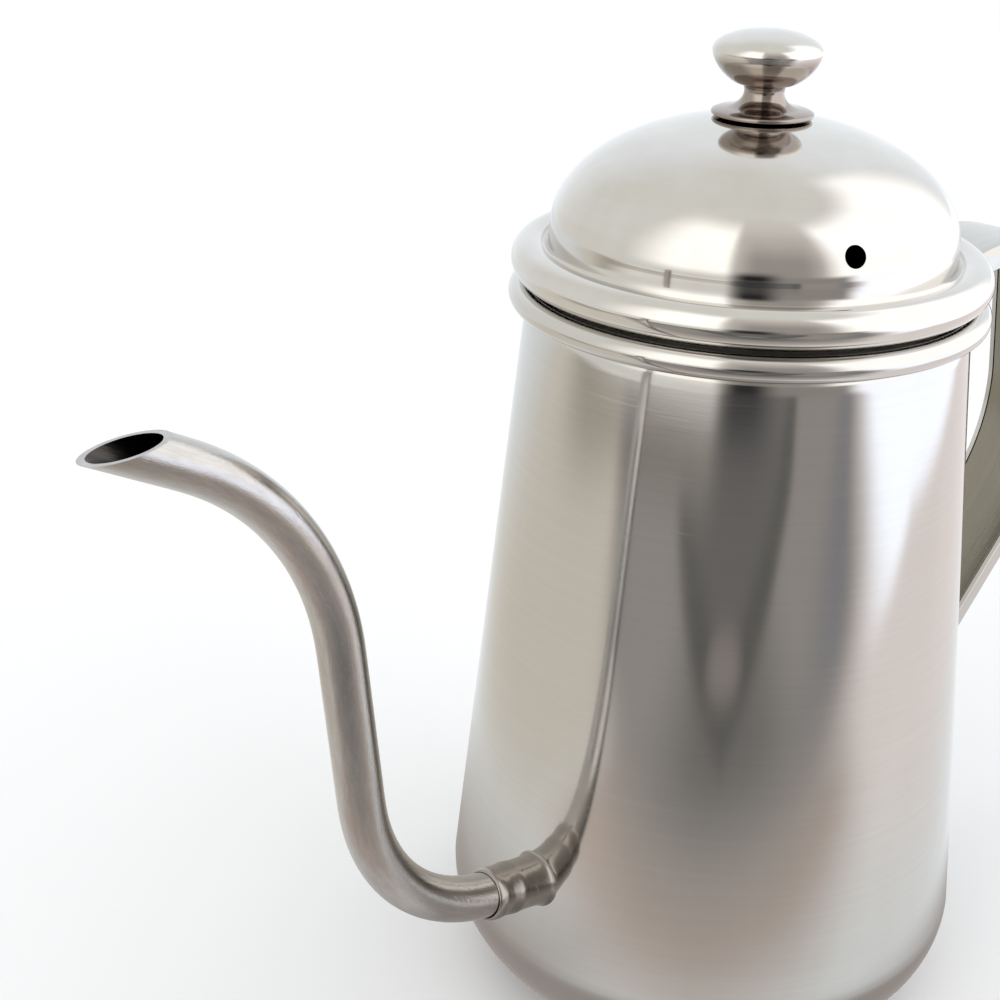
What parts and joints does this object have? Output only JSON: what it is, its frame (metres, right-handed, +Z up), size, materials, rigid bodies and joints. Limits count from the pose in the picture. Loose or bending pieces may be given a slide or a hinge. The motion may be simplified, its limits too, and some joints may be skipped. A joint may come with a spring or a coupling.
{
  "type": "gooseneck kettle",
  "caption": "Stainless steel gooseneck drip kettle: tapered body, slender bent spout, hollow ear handle and a domed lift-off lid with a turned knob.",
  "frame": {"origin": "centre of the flat base, on the surface that the kettle stands on", "axes": "+Z up along the body's axis; +X towards the spout, with the handle along -X; +Y to the left of someone who looks along +X"},
  "size_m": [0.2352, 0.0952, 0.1741],
  "materials": {
    "body_steel": "fine satin, brushed round the body",
    "spout_steel": "fine satin, brushed along the tube",
    "handle_steel": "fine satin, brushed along the strap",
    "polished_steel": "near-mirror polish",
    "raw_steel": "plain mill finish"
  },
  "bodies": {
    "body": {"body_shell": "body_steel", "base_pan": "body_steel", "spout_tube": "spout_steel", "spout_collar": "spout_steel", "handle_outer": "handle_steel", "handle_inner": "handle_steel", "handle_upper_saddle": "handle_steel", "handle_lower_saddle": "handle_steel"},
    "lid": {"lid_shell": "polished_steel", "lid_collar": "raw_steel", "knob": "polished_steel", "knob_screw": "raw_steel", "flat_washer": "raw_steel", "spring_washer": "raw_steel"}
  },
  "joints": [
    {"name": "lid_lift", "type": "slide", "parent": "body", "child": "lid", "axis": [0, 0, 1], "range_m": [0, 0.06]}
  ]
}
